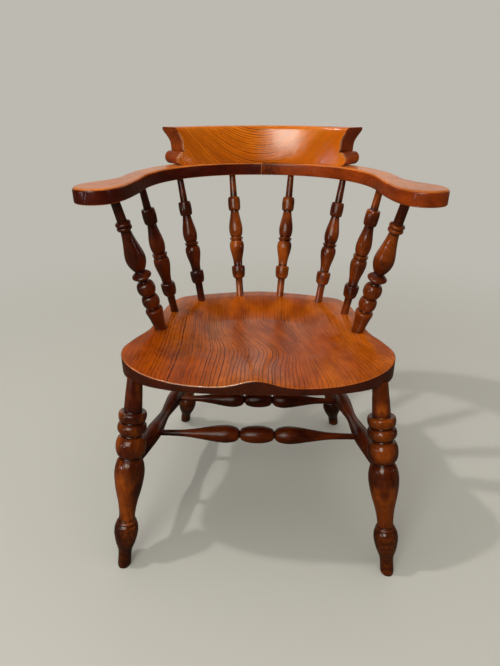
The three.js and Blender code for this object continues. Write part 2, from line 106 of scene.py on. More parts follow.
def light_world():
    world = bpy.data.worlds.new("room")
    world.use_nodes = True
    tree = world.node_tree
    tree.nodes.clear()
    rays = add_node(tree, "LightPath")
    towards = add_node(tree, "SeparateXYZ", Vector=add_node(tree, "TexCoord").outputs["Generated"])
    overhead = between(tree, towards.outputs["Z"], -0.1, 1.0, fill_below, fill_above)
    fill = add_node(tree, "Background", Color=fill_colour, Strength=overhead)
    behind = maths(tree, "MULTIPLY", between(tree, towards.outputs["Y"], 0.4, 0.75, 0.015, 1.0),
                   between(tree, towards.outputs["Z"], 0.3, 0.58, 1.0, 0.4))
    shine = add_node(tree, "Background", Color=room_grey, Strength=behind)
    backdrop = add_node(tree, "Background", Color=room_grey, Strength=1.0)
    lit = add_node(tree, "MixShader", Fac=rays.outputs["Is Glossy Ray"], _1=fill.outputs[0],
                   _2=shine.outputs[0])
    seen = add_node(tree, "MixShader", Fac=rays.outputs["Is Camera Ray"], _1=lit.outputs[0],
                    _2=backdrop.outputs[0])
    add_node(tree, "OutputWorld", Surface=seen.outputs[0])
    scene.world = world


def lay_floor():
    """Matt grey near the chair, and further out the backdrop's own grey, so that no horizon shows."""
    corners = [(-1, -1), (1, -1), (1, 1), (-1, 1)]
    mesh = bpy.data.meshes.new("floor")
    mesh.from_pydata([(x * floor_reach, y * floor_reach, 0) for x, y in corners], [], [(0, 1, 2, 3)])
    floor = bpy.data.objects.new("floor", mesh)
    scene.collection.objects.link(floor)
    paint = bpy.data.materials.new("floor_paint")
    paint.use_nodes = True
    tree = paint.node_tree
    tree.nodes.clear()
    seen = add_node(tree, "LightPath").outputs["Is Camera Ray"]
    matt = add_node(tree, "BsdfDiffuse", Color=room_grey)
    dull = add_node(tree, "BsdfDiffuse", Color=dull_grey)
    near = add_node(tree, "MixShader", Fac=seen, _1=dull.outputs[0], _2=matt.outputs[0])
    place = add_node(tree, "VectorMath", {"operation": "LENGTH"},
                     _0=add_node(tree, "TexCoord").outputs["Object"]).outputs["Value"]
    backdrop = add_node(tree, "Emission", Color=room_grey, Strength=1.0)
    far = maths(tree, "MULTIPLY", seen, between(tree, place, fade_start, fade_end))
    surface = add_node(tree, "MixShader", Fac=far, _1=near.outputs[0], _2=backdrop.outputs[0])
    add_node(tree, "OutputMaterial", Surface=surface.outputs[0])
    mesh.materials.append(paint)


def hang_lamp(name, place, power, radius):
    """A small lamp whose light doesn't weaken with distance."""
    lamp = bpy.data.lights.new(name, "POINT")
    lamp.energy = power
    lamp.shadow_soft_size = radius
    lamp.use_nodes = True
    tree = lamp.node_tree
    steady = add_node(tree, "LightFalloff", Strength=1.0).outputs["Constant"]
    tree.links.new(steady, tree.nodes["Emission"].inputs["Strength"])
    made = bpy.data.objects.new(name, lamp)
    made.location = place
    scene.collection.objects.link(made)


def set_softbox(name, turn, rise, width, height, power, colour=(1.0, 1.0, 1.0)):
    """turn is to the right of straight ahead of the chair and rise is upward, both in degrees."""
    data = bpy.data.lights.new(name, "AREA")
    data.color = colour
    data.shape = "RECTANGLE"
    data.size, data.size_y = width, height
    data.energy = power
    turn, rise = math.radians(turn), math.radians(rise)
    towards = Vector((math.sin(turn) * math.cos(rise), -math.cos(turn) * math.cos(rise), math.sin(rise)))
    made = bpy.data.objects.new(name, data)
    made.location = softbox_aim + towards * softbox_distance
    made.rotation_euler = towards.to_track_quat("Z", "Y").to_euler()
    scene.collection.objects.link(made)


light_world()
lay_floor()
hang_lamp("high_lamp", place=(-0.88, -0.134, 2.119), power=8.9, radius=0.045)
set_softbox("softbox_tall", turn=-21, rise=26, width=1.12, height=1.6, power=31, colour=(0.97, 1.0, 0.9))
set_softbox("softbox_low", turn=-53.5, rise=1.0, width=0.12, height=0.3, power=3.4, colour=(0.8, 0.9, 1.0))
set_softbox("softbox_right", turn=74, rise=8, width=0.1, height=0.3, power=0.9)

# Seat
# One thick elm plank, sawn to a shield outline and dished by hand, with a low ridge between the
# sitter's legs. Its edges are rounded over. The varnish is worn pale along the front one, and that pale
# line is also a painted highlight that fades to the right. Its upright sides are darker, partly stain and
# partly painted shade.
arm_front = 0.112
cross_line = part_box("arm_left")[0][1] + arm_front
seat_height = 0.432
seat_thickness = 0.040
seat_half_width = 0.267
seat_front = 0.205
seat_back = 0.226
dish_depth = 0.024
dish_rim_share, dish_wall_share = 0.88, 0.42
dish_open_share, dish_opening_share = 0.3, 0.9
ridge_height = 0.015
ridge_half_width = 0.042
ridge_length = 0.105
seat_top_round, seat_top_steps = 0.003, 7
seat_low_round, seat_low_steps = 0.004, 6
seat_rings = 34
underside_shares = (0.75, 0.5, 0.25)
outline_steps = 7
rubbed_and_highlit_edge_rings = {1: 0.2, 2: 0.75, 3: 0.75, 4: 0.1}
seat_outline_shares = [
    (0, -1), (0.38, -0.995), (0.62, -0.95), (0.83, -0.85), (0.95, -0.72), (1, -0.53), (0.955, -0.25),
    (0.875, 0), (0.84, 0.35), (0.8, 0.63), (0.71, 0.8), (0.5, 0.89), (0.25, 0.96), (0, 1),
]


def seat_plan(across, along):
    return Vector((across * seat_half_width, along * (seat_front if along < 0 else seat_back)))


def closed_curve(points, steps):
    """A centripetal curve through a closed loop of plan points."""
    made = []
    count = len(points)
    for i in range(count):
        a, b, c, d = (points[(i + k) % count] for k in (-1, 0, 1, 2))
        t0 = 0.0
        t1 = t0 + math.sqrt((b - a).length)
        t2 = t1 + math.sqrt((c - b).length)
        t3 = t2 + math.sqrt((d - c).length)
        for k in range(steps):
            t = t1 + (t2 - t1) * k / steps
            ab = a * ((t1 - t) / (t1 - t0)) + b * ((t - t0) / (t1 - t0))
            bc = b * ((t2 - t) / (t2 - t1)) + c * ((t - t1) / (t2 - t1))
            cd = c * ((t3 - t) / (t3 - t2)) + d * ((t - t2) / (t3 - t2))
            abc = ab * ((t2 - t) / (t2 - t0)) + bc * ((t - t0) / (t2 - t0))
            bcd = bc * ((t3 - t) / (t3 - t1)) + cd * ((t - t1) / (t3 - t1))
            made.append(abc * ((t2 - t) / (t2 - t1)) + bcd * ((t - t1) / (t2 - t1)))
    return made


def eased(share):
    held = min(1.0, max(0.0, share))
    return held * held * (3 - 2 * held)


def hump(value, middle, width):
    """One at the middle, and falling smoothly to nothing at both sides."""
    return math.exp(-(((value - middle) / width) ** 2))


def scoop(x, y, outward):
    """How deep the dish is, less the ridge. outward runs from 0 at the seat's middle to 1 at its edge."""
    along = y / (seat_front if y < 0 else seat_back)
    behind = eased((dish_rim_share - outward) / dish_wall_share)
    ahead = 1 - min(1.0, abs(x) / seat_half_width) ** 4
    openness = eased((dish_open_share - along) / dish_opening_share)
    depth = dish_depth * (behind + (max(behind, ahead) - behind) * openness)
    ridge = hump(x, 0, ridge_half_width) * hump(y, -seat_front, ridge_length)
    return depth - ridge_height * ridge


def dress(name, points, faces, grain, finishes, node, crease=38, wear_and_painted_light=None, figure=None):
    """A new piece in place of a solid. grain is (across, along, through) the wood, and figure is how
    strong the lines are. Marks above zero are rubbed pale, which on the seat's front edge and the bow's
    joint is also a painted highlight; marks below zero are dark polish, which in the hollows of the
    turnings is also painted shade."""
    mesh = bpy.data.meshes.new(name)
    mesh.from_pydata([tuple(p) for p in points], [], faces)
    lines = mesh.attributes.new("grain", "FLOAT_VECTOR", "POINT")
    lines.data.foreach_set("vector", np.asarray(grain, dtype=np.float32).ravel())
    for key, values, usual in (("wear_and_painted_light", wear_and_painted_light, 0.0), ("figure", figure, 1.0)):
        kept = mesh.attributes.new(key, "FLOAT", "POINT")
        values = [usual] * len(points) if values is None else values
        kept.data.foreach_set("value", np.asarray(values, np.float32))
    shape = bmesh.new()
    shape.from_mesh(mesh)
    bmesh.ops.recalc_face_normals(shape, faces=shape.faces)
    shape.to_mesh(mesh)
    shape.free()
    mesh.shade_smooth()
    mesh.set_sharp_from_angle(angle=math.radians(crease))
    for finish in finishes:
        mesh.materials.append(finish)
    made = bpy.data.objects.new(name, mesh)
    scene.collection.objects.link(made)
    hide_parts(node)
    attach(made, "root")
    return made


def skin(rings, start=None, end=None):
    """Faces over rings of equal count, closed at each end by a point or by one flat face."""
    count = len(rings[0])
    points = [p for ring in rings for p in ring]
    faces = []
    for r in range(len(rings) - 1):
        for i in range(count):
            j = (i + 1) % count
            faces.append((r * count + i, r * count + j, (r + 1) * count + j, (r + 1) * count + i))
    for ring, middle in ((0, start), (len(rings) - 1, end)):
        if middle is None:
            faces.append(tuple(range(ring * count, ring * count + count)))
            continue
        points.append(middle)
        faces += [(ring * count + i, ring * count + (i + 1) % count, len(points) - 1) for i in range(count)]
    return points, faces


def varnished_wood(name, pale, warm, dark, spacing, line_share=0.2, line_depth=0.8, wander=0.02,
                   mottle=0.3, fibre=0.3, side_stain_and_shade=None, wear_and_highlight_colour=(0.75, 0.36, 0.17),
                   polish_and_shade_colour=(0.02, 0.003, 0.001), roughness=0.26, coat=0.3, coat_roughness=0.08,
                   coat_bend=1.5, gloss=0.4, bump=0.2, patch=(7.0, 2.4), seed=0.0):
    """Clear varnish over stained wood. grain.x runs across the growth lines and grain.y along them."""
    material = bpy.data.materials.new(name)
    material.use_nodes = True
    tree = material.node_tree
    shader = tree.nodes["Principled BSDF"]
    grain = add_node(tree, "Attribute", {"attribute_name": "grain"}).outputs["Vector"]
    grain = add_node(tree, "VectorMath", {"operation": "ADD"}, _0=grain, _1=(seed, seed, seed)).outputs[0]
    figure = add_node(tree, "Attribute", {"attribute_name": "figure"}).outputs["Fac"]
    wear_and_light_mark = add_node(tree, "Attribute", {"attribute_name": "wear_and_painted_light"}).outputs["Fac"]

    def noise(across, along, detail=3.0, rough=0.55):
        """Clouds, with so many to the metre across and along the wood."""
        at = add_node(tree, "VectorMath", {"operation": "MULTIPLY"}, _0=grain, _1=(across, along, across))
        return add_node(tree, "TexNoise", Vector=at.outputs[0], Scale=1.0, Detail=detail,
                        Roughness=rough).outputs["Fac"]

    def blend(share, first, second, way="MIX"):
        made = add_node(tree, "Mix", {"data_type": "RGBA", "blend_type": way}, _0=share)
        for index, colour in ((6, first), (7, second)):
            if isinstance(colour, bpy.types.NodeSocket):
                tree.links.new(colour, made.inputs[index])
            else:
                made.inputs[index].default_value = (*colour, 1)
        return made.outputs[2]

    def growth_lines(gap, share, seed_shift):
        """Thin dark lines, one to a gap, each with its own place, width and strength."""
        count = maths(tree, "MULTIPLY", place, 1.0 / gap)
        number = maths(tree, "ADD", maths(tree, "FLOOR", count), seed_shift)
        own = add_node(tree, "TexWhiteNoise", {"noise_dimensions": "1D"}, W=number)
        chance = add_node(tree, "SeparateColor", Color=own.outputs["Color"])
        middle = maths(tree, "MULTIPLY_ADD", chance.outputs[0], 0.44, 0.28)
        off = maths(tree, "ABSOLUTE", maths(tree, "SUBTRACT", maths(tree, "FRACT", count), middle))
        wide = maths(tree, "MULTIPLY_ADD", chance.outputs[1], share * 0.6, share * 0.4)
        near = maths(tree, "DIVIDE", off, wide)
        strength = maths(tree, "MULTIPLY_ADD", chance.outputs[2], 0.4, 0.6)
        return maths(tree, "MULTIPLY", between(tree, near, 0.45, 1.0, 1.0, 0.0), strength)

    across = add_node(tree, "SeparateXYZ", Vector=grain).outputs["X"]
    drift = maths(tree, "SUBTRACT", noise(9.0, 3.5, 2.0), 0.5)
    small_drift = maths(tree, "SUBTRACT", noise(70.0, 17.0, 2.0), 0.5)
    place = maths(tree, "MULTIPLY_ADD", drift, wander, across)
    place = maths(tree, "MULTIPLY_ADD", small_drift, wander * 0.22, place)
    breaks = between(tree, noise(210.0, 30.0), 0.3, 0.45, 0.5, 1.0)
    lines = maths(tree, "MULTIPLY", growth_lines(spacing, line_share, 0.0), breaks)
    hairs = maths(tree, "MULTIPLY", growth_lines(spacing / 3.3, line_share * 1.2, 40.0), 0.4)
    lines = maths(tree, "MULTIPLY", maths(tree, "MAXIMUM", lines, hairs), figure)
    tone = between(tree, noise(*patch), 0.36, 0.64)
    colour = blend(tone, pale, warm)
    fibres = between(tree, noise(1100.0, 26.0, 3.0, 0.6), 0.3, 0.7)
    colour = blend(fibre, colour, blend(fibres, (0.4, 0.33, 0.3), (1.3, 1.34, 1.4)), "MULTIPLY")
    clouds = between(tree, noise(30.0, 15.0, 4.0, 0.62), 0.3, 0.72)
    colour = blend(mottle, colour, blend(clouds, (0.36, 0.26, 0.22), (1.25, 1.28, 1.3)), "MULTIPLY")
    colour = blend(maths(tree, "MULTIPLY", lines, line_depth), colour, dark)
    # Upright faces take a darker colour by their facing: partly a real stain soaking into the sides, partly
    # painted shade for the light that upright faces get less of.
    if side_stain_and_shade is not None:
        turned_to = add_node(tree, "SeparateXYZ", Vector=add_node(tree, "TexCoord").outputs["Normal"])
        level = maths(tree, "ABSOLUTE", turned_to.outputs["Z"])
        stain = blend(fibres, side_stain_and_shade, tuple(v * 1.6 for v in side_stain_and_shade))
        stain = blend(0.7, stain, blend(clouds, (0.5, 0.42, 0.4), (1.3, 1.3, 1.3)), "MULTIPLY")
        colour = blend(between(tree, level, 0.3, 0.75, 1.0, 0.0), colour, stain)
    uneven = between(tree, noise(160.0, 120.0), 0.3, 0.6, 0.4, 1.0)
    # Marks above zero are pale wear, in places also a painted highlight; marks below zero are dark polish, in
    # the hollows also painted shade.
    pale_wear_and_highlight = maths(tree, "MAXIMUM", wear_and_light_mark, 0.0)
    colour = blend(maths(tree, "MULTIPLY", pale_wear_and_highlight, uneven), colour, wear_and_highlight_colour)
    polish_and_shade = maths(tree, "MAXIMUM", maths(tree, "MULTIPLY", wear_and_light_mark, -1.0), 0.0)
    colour = blend(maths(tree, "MULTIPLY", polish_and_shade, uneven), colour, polish_and_shade_colour)
    tree.links.new(colour, shader.inputs["Base Color"])
    smears = between(tree, noise(26.0, 26.0, 4.0, 0.6), 0.3, 0.7, roughness - 0.06, roughness + 0.07)
    tree.links.new(maths(tree, "MULTIPLY_ADD", lines, 0.12, smears), shader.inputs["Roughness"])
    shader.inputs["Specular IOR Level"].default_value = gloss
    shader.inputs["Coat Weight"].default_value = coat
    shader.inputs["Coat Roughness"].default_value = coat_roughness
    shader.inputs["Coat IOR"].default_value = coat_bend
    waviness = noise(34.0, 20.0, 2.0)
    relief = maths(tree, "MULTIPLY_ADD", waviness, 1.6, maths(tree, "MULTIPLY", fibres, 0.1))
    relief = maths(tree, "MULTIPLY_ADD", lines, -0.5, relief)
    lumps = add_node(tree, "Bump", Strength=bump, Distance=0.0012, Height=relief)
    tree.links.new(lumps.outputs[0], shader.inputs["Normal"])
    tree.links.new(lumps.outputs[0], shader.inputs["Coat Normal"])
    return material


def seat_grain(x, y, z):
    """The saw cut crosses the growth rings so that the lines swing in an S through the middle."""
    swing = 0.078 * eased((y + 0.065) / 0.17) * hump(x, 0.005, 0.115)
    lean = 0.05 * eased((y + 0.19) / 0.2) * eased((x - 0.02) / 0.12)
    bulge = 0.012 * hump(y, -0.075, 0.045) * hump(x, 0.05, 0.09)
    fan = x * 0.12 * (y + 0.2)
    return (x + swing + lean - bulge + fan, y, z)


def seat_figure(x, y):
    """The lines are strong at the left and in the middle, and fade towards the right and the back."""
    fade = eased((x - 0.06) / 0.08) * (1 - 0.4 * eased((-y - 0.02) / 0.12))
    return max(0.12, 1 - 0.7 * fade - 0.6 * eased((y - 0.08) / 0.08) - 0.6 * eased((-x - 0.18) / 0.04))


def make_seat():
    right = [seat_plan(*share) for share in seat_outline_shares]
    left = [Vector((-p.x, p.y)) for p in reversed(right[1:-1])]
    outline = closed_curve(right + left, outline_steps)
    seat_bottom = seat_height - seat_thickness

    def moved(x, y, z):
        return Vector((x, y + cross_line, z))

    def edge(inset, drop):
        ring = []
        for p in outline:
            kept = 1 - inset / p.length
            ring.append(moved(p.x * kept, p.y * kept, seat_height - scoop(p.x, p.y, 1) - drop))
        return ring

    def level(inset, z):
        return [moved(p.x * (1 - inset / p.length), p.y * (1 - inset / p.length), z) for p in outline]

    rings = []
    for k in range(1, seat_rings):
        share = k / seat_rings
        rings.append([moved(p.x * share, p.y * share, seat_height - scoop(p.x * share, p.y * share, share))
                      for p in outline])
    first_edge = len(rings)
    for k in range(seat_top_steps + 1):
        turn = math.pi / 2 * k / seat_top_steps
        rings.append(edge(seat_top_round * (1 - math.sin(turn)), seat_top_round * (1 - math.cos(turn))))
    for k in range(seat_low_steps + 1):
        turn = math.pi / 2 * k / seat_low_steps
        height = seat_bottom + seat_low_round * (1 - math.sin(turn))
        rings.append(level(seat_low_round * (1 - math.cos(turn)), height))
    for share in underside_shares:
        rings.append([moved(p.x * share, p.y * share, seat_bottom) for p in outline])
    points, faces = skin(rings, moved(0, 0, seat_height - scoop(0, 0, 0)), moved(0, 0, seat_bottom))
    grain = [seat_grain(p.x, p.y - cross_line, p.z) for p in points]
    wear_and_painted_light = np.zeros(len(points))
    # The pale line on the front edge's rounding is wear and also a painted highlight, kept mostly to the
    # left, where the light falls on it.
    for step, amount in rubbed_and_highlit_edge_rings.items():
        for i, p in enumerate(outline):
            front = eased((-p.y - 0.125) / 0.05)
            less_at_right = 1 - 0.8 * eased((p.x + 0.03) / 0.05)
            wear_and_painted_light[(first_edge + step) * len(outline) + i] = amount * front * less_at_right
    figure = [seat_figure(p.x, p.y - cross_line) for p in points]
    seat_wood = varnished_wood(
        "seat_elm", pale=(0.56, 0.12, 0.005), warm=(0.42, 0.068, 0.002), dark=(0.05, 0.006, 0.001),
        spacing=0.0082, line_share=0.2, line_depth=1.0, wander=0.02, mottle=0.55, fibre=0.4,
        side_stain_and_shade=(0.05, 0.006, 0.001), roughness=0.13, coat=0.0, gloss=0.8)
    dress("seat_plank", points, faces, grain, [seat_wood], "seat", wear_and_painted_light=wear_and_painted_light, figure=figure)


make_seat()

# Legs
# Four turned legs in beech, let into the underside of the seat. From the floor up: a bulb with a
# lipped top, a long vase, a ball, a ring and a cupped collar, then a plain neck under the seat.
leg_radius = 0.030
foot_out, foot_ahead = 0.038, 0.094
rear_foot_out, rear_foot_behind = 0.070, 0.130
front_leg_top = (0.876, -0.745)
rear_leg_top = (0.57, 0.62)
underside = seat_height - seat_thickness
leg_sides = 72
proud_reach, proud_samples = 0.005, 21
proud_height = 0.0016
rubbed_most, polish_and_shade_most = 0.12, 0.95


def swell(stations, count):
    """A smooth line through stations, as a turner would sweep it with a gouge."""
    made = []
    last = len(stations) - 1
    for i in range(count + 1):
        at = last * i / count
        k = min(int(at), last - 1)
        t = at - k
        p0, p1, p2, p3 = (stations[min(max(k + d, 0), last)] for d in (-1, 0, 1, 2))
        point = []
        for a, b, c, d in zip(p0, p1, p2, p3):
            v0, v1 = (c - a) / 2, (d - b) / 2
            cubic = (2 * b - 2 * c + v0 + v1) * t ** 3
            square = (3 * c - 3 * b - 2 * v0 - v1) * t ** 2
            point.append(cubic + square + v0 * t + b)
        made.append(tuple(point))
    return made


def bead(start, stop, edge, full, steps):
    made = []
    for i in range(steps + 1):
        turn = math.pi * i / steps
        along = start + (stop - start) * (1 - math.cos(turn)) / 2
        made.append((along, edge + (full - edge) * math.sin(turn)))
    return made


def how_proud(profile):
    """How far each place of a turning stands proud of, or behind, the wood round it, from -1 to 1."""
    heights = np.array([height for height, _ in profile])
    radii = np.array([radius for _, radius in profile])
    near = np.linspace(-proud_reach, proud_reach, proud_samples)
    around = np.array([np.interp(height + near, heights, radii).mean() for height in heights])
    return np.clip((radii - around) / proud_height, -1, 1)


def turned(profile, foot, head, sides, pith):
    """Points, faces, grain and marks of a piece turned about the line from foot to head, in metres.
    Proud places are rubbed pale, and the hollows take dark polish that is also painted shade.
    """
    along = (head - foot).normalized()
    turn = along.to_track_quat("Z", "Y")
    rings, grain, wear_and_painted_light = [], [], []
    for (height, radius), proud in zip(profile, how_proud(profile)):
        # Proud rings are rubbed pale, and hollow ones take dark polish that also stands for the shade in the
        # grooves.
        wear_and_painted_light += [max(0.0, proud) * rubbed_most + min(0.0, proud) * polish_and_shade_most] * sides
        ring = []
        for i in range(sides):
            angle = 2 * math.pi * i / sides
            local = Vector((radius * math.cos(angle), radius * math.sin(angle), height))
            ring.append(foot + turn @ local)
            from_pith = math.hypot(local.x - pith[0], local.y - pith[1])
            grain.append((from_pith, height + pith[2], 0.0))
        rings.append(ring)
    points, faces = skin(rings)
    return points, faces, grain, wear_and_painted_light


def deepen(wear_and_painted_light, profile, length, sides, stain_at):
    """Adds dark polish ring by ring, as much as stain_at gives at the ring's share of the length."""
    for k, (height, _) in enumerate(profile):
        stain = stain_at(height / length)
        for i in range(k * sides, (k + 1) * sides):
            wear_and_painted_light[i] = max(-polish_and_shade_most, wear_and_painted_light[i] - stain)


def leg_profile(length):
    parts = [(-0.03, 0.405), (-0.002, 0.405), (0.002, 0.425), (0.006, 0.437), (0.014, 0.44)]
    parts += swell([(0.03, 0.44), (0.08, 0.45), (0.105, 0.53), (0.13, 0.645), (0.165, 0.755),
                    (0.197, 0.805), (0.223, 0.775), (0.237, 0.715), (0.2445, 0.665)], 44)
    parts += [(0.2452, 0.645), (0.2466, 0.645), (0.2473, 0.663), (0.2485, 0.667)]
    parts += swell([(0.2485, 0.667), (0.253, 0.645), (0.2575, 0.6), (0.2605, 0.545)], 8)
    parts += swell([(0.2625, 0.53), (0.3, 0.54), (0.36, 0.65), (0.42, 0.83), (0.48, 0.96), (0.53, 0.99),
                    (0.575, 0.88), (0.596, 0.73), (0.601, 0.68)], 54)
    parts += [(0.6035, 0.665), (0.606, 0.665)]
    parts += bead(0.608, 0.714, 0.68, 1.0, 22)
    parts += [(0.716, 0.655), (0.721, 0.635), (0.726, 0.655)]
    parts += bead(0.728, 0.785, 0.7, 0.945, 16)
    parts += [(0.787, 0.69), (0.7895, 0.69)]
    parts += swell([(0.7905, 0.72), (0.7925, 0.815), (0.797, 0.865), (0.808, 0.9), (0.8185, 0.91),
                    (0.828, 0.9), (0.8345, 0.868), (0.8378, 0.815), (0.8385, 0.75), (0.8375, 0.69),
                    (0.837, 0.63), (0.839, 0.595), (0.846, 0.583)], 40)
    parts += [(0.87, 0.575), (0.92, 0.55), (0.96, 0.52), (1.0, 0.49), (1.012, 0.485)]
    return [(share * length, across * leg_radius) for share, across in parts]


def leg_stain(share):
    """The foot is dark all over, and a softer dark band crosses the long vase and the collar."""
    foot = 0.8 * (1 - eased((share - 0.24) / 0.05))
    return foot + 0.4 * hump(share, 0.55, 0.05) + 0.45 * hump(share, 0.78, 0.07)


def leg_place(side, top_share, out, behind):
    plan = seat_plan(*top_share)
    top = Vector((side * plan.x, plan.y + cross_line, underside))
    foot = Vector((side * (plan.x + out), plan.y + behind + cross_line, 0))
    return foot, top


leg_places = {
    "front_left": leg_place(-1, front_leg_top, foot_out, -foot_ahead),
    "front_right": leg_place(1, front_leg_top, foot_out, -foot_ahead),
    "back_left": leg_place(-1, rear_leg_top, rear_foot_out, rear_foot_behind),
    "back_right": leg_place(1, rear_leg_top, rear_foot_out, rear_foot_behind),
}
leg_wood = varnished_wood(
    "leg_beech", pale=(0.36, 0.07, 0.004), warm=(0.07, 0.007, 0.001), dark=(0.03, 0.003, 0.001),
    spacing=0.0036, line_share=0.3, line_depth=0.08, wander=0.02, mottle=0.75, fibre=0.6,
    wear_and_highlight_colour=(0.55, 0.15, 0.03), roughness=0.3, coat=1.0, gloss=0.08, coat_roughness=0.06,
    patch=(22.0, 9.0))
for number, (name, (foot, top)) in enumerate(leg_places.items()):
    pith = (0.05 - 0.02 * number, 0.04 + 0.01 * number, 0.7 * number)
    length = (top - foot).length
    profile = leg_profile(length)
    points, faces, grain, wear_and_painted_light = turned(profile, foot, top, leg_sides, pith)
    deepen(wear_and_painted_light, profile, length, leg_sides, leg_stain)
    slope = (top - foot) / (top - foot).z
    points = [p - slope * p.z if p.z < 0 else p for p in points]
    dress("turned_leg_" + name, points, faces, grain, [leg_wood], "leg_" + name, wear_and_painted_light=wear_and_painted_light)

# Stretchers
# One at each side from leg to leg, turned with two long swells, and two across between those with a
# middle bead and a vase at each side. All are tenoned and glued.
side_radius = 0.018
cross_radius = 0.0195
side_heights = (0.206, 0.200)
cross_shares = {"front": 0.32, "back": 0.68}
side_tenon = 0.020
cross_tenon = 0.012
side_end_share = 0.58
side_end_length = side_tenon + 0.29 * side_radius
side_sides, cross_sides = 40, 48
stretcher_wood = varnished_wood(
    "stretcher_beech", pale=(0.15, 0.022, 0.002), warm=(0.04, 0.005, 0.001), dark=(0.03, 0.003, 0.001),
    spacing=0.0036, line_share=0.3, line_depth=0.14, wander=0.02, mottle=0.75, fibre=0.6,
    wear_and_highlight_colour=(0.45, 0.12, 0.03), roughness=0.3, coat=0.6, gloss=0.08, coat_roughness=0.06,
    patch=(22.0, 9.0), seed=3.0)
side_lines = {}
for number, side in enumerate(("left", "right")):
    front_foot, front_top = leg_places["front_" + side]
    back_foot, back_top = leg_places["back_" + side]
    start = front_foot.lerp(front_top, side_heights[0] / underside)
    stop = back_foot.lerp(back_top, side_heights[1] / underside)
    side_lines[side] = (start, stop)
    inward = (stop - start).normalized() * (leg_radius - side_tenon)
    start, stop = start + inward, stop - inward
    length = (stop - start).length
    straight = side_end_length / length
    profile = [(0, side_end_share)]
    profile += swell([(straight, side_end_share), (0.19, 0.82), (0.32, 1), (0.41, 0.82), (0.5, 0.64),
                      (0.59, 0.82), (0.68, 1), (0.81, 0.82), (1 - straight, side_end_share)], 64)
    profile += [(1, side_end_share)]
    profile = [(share * length, across * side_radius) for share, across in profile]
    points, faces, grain, wear_and_painted_light = turned(profile, start, stop, side_sides, (0.04, 0.03, 1.3 + number))
    dress("side_rail_" + side, points, faces, grain, [stretcher_wood], "side_stretcher_" + side,
          wear_and_painted_light=wear_and_painted_light)
for number, (place, share) in enumerate(cross_shares.items()):
    start = side_lines["left"][0].lerp(side_lines["left"][1], share)
    stop = side_lines["right"][0].lerp(side_lines["right"][1], share)
    inward = (stop - start).normalized() * (side_radius - cross_tenon)
    start, stop = start + inward, stop - inward
    length = (stop - start).length
    half = [(0, 0.34)] + swell([(0.06, 0.34), (0.15, 0.42), (0.235, 0.69), (0.305, 0.94), (0.355, 1),
                                (0.395, 0.81), (0.411, 0.5), (0.414, 0.42)], 44)
    profile = half + [(0.4165, 0.4)] + bead(0.418, 0.582, 0.44, 1, 26) + [(0.5835, 0.4)]
    profile += [(1 - along, across) for along, across in reversed(half)]
    profile = [(along * length, across * cross_radius) for along, across in profile]
    points, faces, grain, wear_and_painted_light = turned(profile, start, stop, cross_sides, (0.03, 0.05, 2.6 + number))
    dress("cross_rail_" + place, points, faces, grain, [stretcher_wood], "cross_stretcher_" + place,
          wear_and_painted_light=wear_and_painted_light)

# Arm bow
# Two sawn planks that butt at the middle of the back and run forward as the arms. Each ends in a
# hand rest that flares outward. The edges are rounded over, and the joint shows as a pale line, a
# painted highlight standing for the light its eased edges catch. The upright faces are darker, partly
# stain and partly painted shade, most on the left plank.
bow_underside = seat_height + 0.279
bow_thickness = 0.028
bow_inner_half_width = 0.232
bow_inner_back = 0.272
bow_back_width = 0.0579
arm_width = 0.044
arm_curve_start = 0.040
hand_rest_width = 0.098
oval_power = 2.15
bow_turns, hand_rest_steps = 60, 120
closest_points = 0.0016
bow_low_round, bow_low_steps = 0.0035, 5
bow_top_round, bow_top_steps = 0.0055, 7
bow_grain_lean = math.radians(28)
joint_painted_highlight, joint_stain = 0.8, 0.8
stain_start, stain_fade = 0.01, 0.07
hand_rest_shares = [
    (0.01, 0.2), (0.04, 0.41), (0.09, 0.63), (0.163, 0.79), (0.265, 0.905), (0.41, 0.975), (0.59, 1),
    (0.79, 0.97), (0.94, 0.88), (1, 0.73), (0.95, 0.57), (0.81, 0.43), (0.65, 0.3), (0.53, 0.16),
]
joint_gap = 0.0003
joint_line = Vector((0.0011, 0))


def bow_point(turn, across):
    angle = turn * math.pi / 2
    half_width = bow_inner_half_width + across * arm_width
    reach = bow_inner_back - arm_curve_start + across * bow_back_width
    x = half_width * math.sin(angle) ** (2 / oval_power)
    y = arm_curve_start + reach * max(0.0, math.cos(angle)) ** (2 / oval_power)
    return (x, y)


def arm_line():
    """The right arm's outline from the joint's inner corner round the hand rest to its outer corner."""
    turns = [i / bow_turns for i in range(bow_turns + 1)]
    inner = [bow_point(turn, 0) for turn in turns]
    outer = [bow_point(turn, 1) for turn in reversed(turns)]
    straight = arm_curve_start + arm_front
    rest = [(bow_inner_half_width + across * hand_rest_width, arm_curve_start - along * straight)
            for across, along in hand_rest_shares]
    flare = swell([inner[-1]] + rest + [outer[0]], hand_rest_steps)
    line = inner + flare[1:-1] + outer
    line[0] = (joint_gap / 2, line[0][1])
    line[-1] = (joint_gap / 2, line[-1][1])
    spaced = [Vector(line[0])]
    for point in line[1:]:
        point = Vector(point)
        if (point - spaced[-1]).length > closest_points or point.x == joint_gap / 2:
            spaced.append(point)
    return [spaced[0], spaced[0] + joint_line] + spaced[1:-1] + [spaced[-1] + joint_line, spaced[-1]]


def rounded_edges():
    """How far in and how high each ring of the bow stands, from its underside to its top."""
    made = []
    for k in range(bow_low_steps + 1):
        turn = math.pi / 2 * k / bow_low_steps
        made.append((bow_low_round * (1 - math.sin(turn)), bow_low_round * (1 - math.cos(turn))))
    for k in range(bow_top_steps + 1):
        turn = math.pi / 2 * k / bow_top_steps
        height = bow_thickness - bow_top_round * (1 - math.sin(turn))
        made.append((bow_top_round * (1 - math.cos(turn)), height))
    return made


